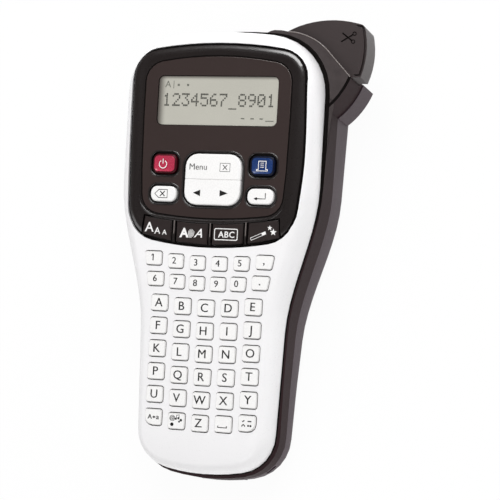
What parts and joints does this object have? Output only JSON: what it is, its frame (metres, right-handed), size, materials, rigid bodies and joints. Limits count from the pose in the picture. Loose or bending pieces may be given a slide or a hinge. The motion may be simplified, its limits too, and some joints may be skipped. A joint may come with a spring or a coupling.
{
  "type": "handheld label maker",
  "caption": "Handheld label maker with a display, letter, number and function keys, a tape cassette bay behind an opening back, and a side lever that cuts the printed tape.",
  "frame": {"origin": "centre of the flat back that the label maker lies on", "axes": "+X to the user's right, +Y from the keys towards the display head, +Z out of the flat back towards the keys"},
  "size_m": [0.108, 0.2019, 0.0559],
  "materials": {
    "shell": "moulded, semi-gloss",
    "panel": "moulded, high gloss",
    "lens": "clear window over a grey display",
    "display": "display module",
    "board": "lacquered laminate",
    "mat": "moulded silicone",
    "key_red": "moulded, translucent",
    "key_blue": "moulded, translucent",
    "key_white": "moulded, semi-gloss",
    "key_dark": "moulded, high gloss",
    "frame": "moulded, fine grain",
    "cover": "moulded, fine grain",
    "lever": "moulded, fine grain",
    "inner": "moulded",
    "gear": "moulded acetal",
    "brass": "turned",
    "steel": "ground",
    "platen": "moulded on a steel shaft",
    "cassette": "moulded",
    "tape": "coated tape on a core",
    "ribbon": "ink ribbon on a core",
    "cell": "printed sleeve",
    "contact": "plated"
  },
  "bodies": {
    "case": {"front_shell": "shell", "bezel_frame": "panel", "display_lens": "lens", "lcd_module": "display", "main_board": "board", "key_mat": "mat", "body_frame": "frame", "bay_chassis": "inner", "battery_tray": "inner", "hinge_pin": "steel", "lever_pin": "steel", "lever_spring": "steel", "cutter_anvil": "steel", "drive_motor": "steel", "print_head": "inner", "cassette_case": "cassette", "cassette_lid": "cassette", "batteries": "cell", "battery_springs": "steel", "battery_contacts": "contact", "shell_screws": "steel"},
    "back": {"rear_cover": "cover"},
    "lever": {"cutter_lever": "lever", "blade_carrier": "inner", "cutter_blade": "steel"},
    "pinion": {"motor_pinion": "brass"},
    "idler": {"idler_gear": "gear"},
    "platen": {"platen_gear": "gear", "platen_roller": "platen"},
    "takeup": {"takeup_gear": "gear", "takeup_spool": "inner"},
    "tape": {"tape_roll": "tape"},
    "ribbon": {"ribbon_roll": "ribbon"},
    "power_key_body": {"power_key": "key_red"},
    "print_key_body": {"print_key": "key_blue"},
    "clear_key_body": {"clear_key": "key_white"},
    "enter_key_body": {"enter_key": "key_white"},
    "menu_key_body": {"menu_key": "key_white"},
    "cursor_key_body": {"cursor_key": "key_white"},
    "size_key_body": {"size_key": "key_dark"},
    "style_key_body": {"style_key": "key_dark"},
    "frame_key_body": {"frame_key": "key_dark"},
    "deco_key_body": {"deco_key": "key_dark"},
    "key_row_1_body": {"key_row_1": "key_white"},
    "key_row_2_body": {"key_row_2": "key_white"},
    "key_row_3_body": {"key_row_3": "key_white"},
    "key_row_4_body": {"key_row_4": "key_white"},
    "key_row_5_body": {"key_row_5": "key_white"},
    "key_row_6_body": {"key_row_6": "key_white"},
    "key_row_7_body": {"key_row_7": "key_white"},
    "key_row_8_body": {"key_row_8": "key_white"}
  },
  "joints": [
    {"name": "back_hinge", "type": "hinge", "parent": "case", "child": "back", "pos_m": [0, -0.09711, 0.01219], "axis": [-1, 0, 0], "range_deg": [0, 60]},
    {"name": "lever_press", "type": "hinge", "parent": "case", "child": "lever", "pos_m": [0.0526, 0.0792, 0.03], "axis": [0, 0, 1], "range_deg": [0, 10], "stiffness_Nm_per_rad": 0.5},
    {"name": "power_key_press", "type": "slide", "parent": "case", "child": "power_key_body", "axis": [0, 0.1132, -0.9936], "range_m": [0, 0.001], "stiffness_N_per_m": 400},
    {"name": "print_key_press", "type": "slide", "parent": "case", "child": "print_key_body", "axis": [0, 0.1132, -0.9936], "range_m": [0, 0.001], "stiffness_N_per_m": 400},
    {"name": "clear_key_press", "type": "slide", "parent": "case", "child": "clear_key_body", "axis": [0, 0.1132, -0.9936], "range_m": [0, 0.001], "stiffness_N_per_m": 400},
    {"name": "enter_key_press", "type": "slide", "parent": "case", "child": "enter_key_body", "axis": [0, 0.1132, -0.9936], "range_m": [0, 0.001], "stiffness_N_per_m": 400},
    {"name": "menu_key_press", "type": "slide", "parent": "case", "child": "menu_key_body", "axis": [0, 0.1132, -0.9936], "range_m": [0, 0.001], "stiffness_N_per_m": 400},
    {"name": "cursor_key_press", "type": "slide", "parent": "case", "child": "cursor_key_body", "axis": [0, 0.1132, -0.9936], "range_m": [0, 0.001], "stiffness_N_per_m": 400},
    {"name": "size_key_press", "type": "slide", "parent": "case", "child": "size_key_body", "axis": [0, 0.1132, -0.9936], "range_m": [0, 0.001], "stiffness_N_per_m": 400},
    {"name": "style_key_press", "type": "slide", "parent": "case", "child": "style_key_body", "axis": [0, 0.1132, -0.9936], "range_m": [0, 0.001], "stiffness_N_per_m": 400},
    {"name": "frame_key_press", "type": "slide", "parent": "case", "child": "frame_key_body", "axis": [0, 0.1132, -0.9936], "range_m": [0, 0.001], "stiffness_N_per_m": 400},
    {"name": "deco_key_press", "type": "slide", "parent": "case", "child": "deco_key_body", "axis": [0, 0.1132, -0.9936], "range_m": [0, 0.001], "stiffness_N_per_m": 400},
    {"name": "key_row_1_press", "type": "slide", "parent": "case", "child": "key_row_1_body", "axis": [0, 0.1132, -0.9936], "range_m": [0, 0.0008], "stiffness_N_per_m": 600},
    {"name": "key_row_2_press", "type": "slide", "parent": "case", "child": "key_row_2_body", "axis": [0, 0.1132, -0.9936], "range_m": [0, 0.0008], "stiffness_N_per_m": 600},
    {"name": "key_row_3_press", "type": "slide", "parent": "case", "child": "key_row_3_body", "axis": [0, 0.1132, -0.9936], "range_m": [0, 0.0008], "stiffness_N_per_m": 600},
    {"name": "key_row_4_press", "type": "slide", "parent": "case", "child": "key_row_4_body", "axis": [0, 0.1132, -0.9936], "range_m": [0, 0.0008], "stiffness_N_per_m": 600},
    {"name": "key_row_5_press", "type": "slide", "parent": "case", "child": "key_row_5_body", "axis": [0, 0.1132, -0.9936], "range_m": [0, 0.0008], "stiffness_N_per_m": 600},
    {"name": "key_row_6_press", "type": "slide", "parent": "case", "child": "key_row_6_body", "axis": [0, 0.1132, -0.9936], "range_m": [0, 0.0008], "stiffness_N_per_m": 600},
    {"name": "key_row_7_press", "type": "slide", "parent": "case", "child": "key_row_7_body", "axis": [0, 0.1132, -0.9936], "range_m": [0, 0.0008], "stiffness_N_per_m": 600},
    {"name": "key_row_8_press", "type": "slide", "parent": "case", "child": "key_row_8_body", "axis": [0, 0.1132, -0.9936], "range_m": [0, 0.0008], "stiffness_N_per_m": 600},
    {"name": "idler_turn", "type": "hinge", "parent": "case", "child": "idler", "pos_m": [0.02437, 0.0675, 0.028], "axis": [0, 0, 1], "continuous": true},
    {"name": "pinion_turn", "type": "hinge", "parent": "case", "child": "pinion", "pos_m": [0.00981, 0.06191, 0.03], "axis": [0, 0, 1], "continuous": true},
    {"name": "platen_turn", "type": "hinge", "parent": "case", "child": "platen", "pos_m": [0.033, 0.074, 0.02], "axis": [0, 0, 1], "continuous": true},
    {"name": "takeup_turn", "type": "hinge", "parent": "case", "child": "takeup", "pos_m": [0.0224, 0.05627, 0.02], "axis": [0, 0, 1], "continuous": true},
    {"name": "tape_turn", "type": "hinge", "parent": "case", "child": "tape", "pos_m": [-0.014, 0.046, 0.016], "axis": [0, 0, 1], "continuous": true},
    {"name": "ribbon_turn", "type": "hinge", "parent": "case", "child": "ribbon", "pos_m": [0.008, 0.031, 0.016], "axis": [0, 0, 1], "continuous": true}
  ],
  "couplings": [
    {"joint": "pinion_turn", "follows": "idler_turn", "ratio": -3.3333},
    {"joint": "platen_turn", "follows": "idler_turn", "ratio": -0.63636},
    {"joint": "takeup_turn", "follows": "idler_turn", "ratio": -0.58333},
    {"joint": "tape_turn", "follows": "idler_turn", "ratio": 0.15427},
    {"joint": "ribbon_turn", "follows": "idler_turn", "ratio": 0.54444}
  ]
}
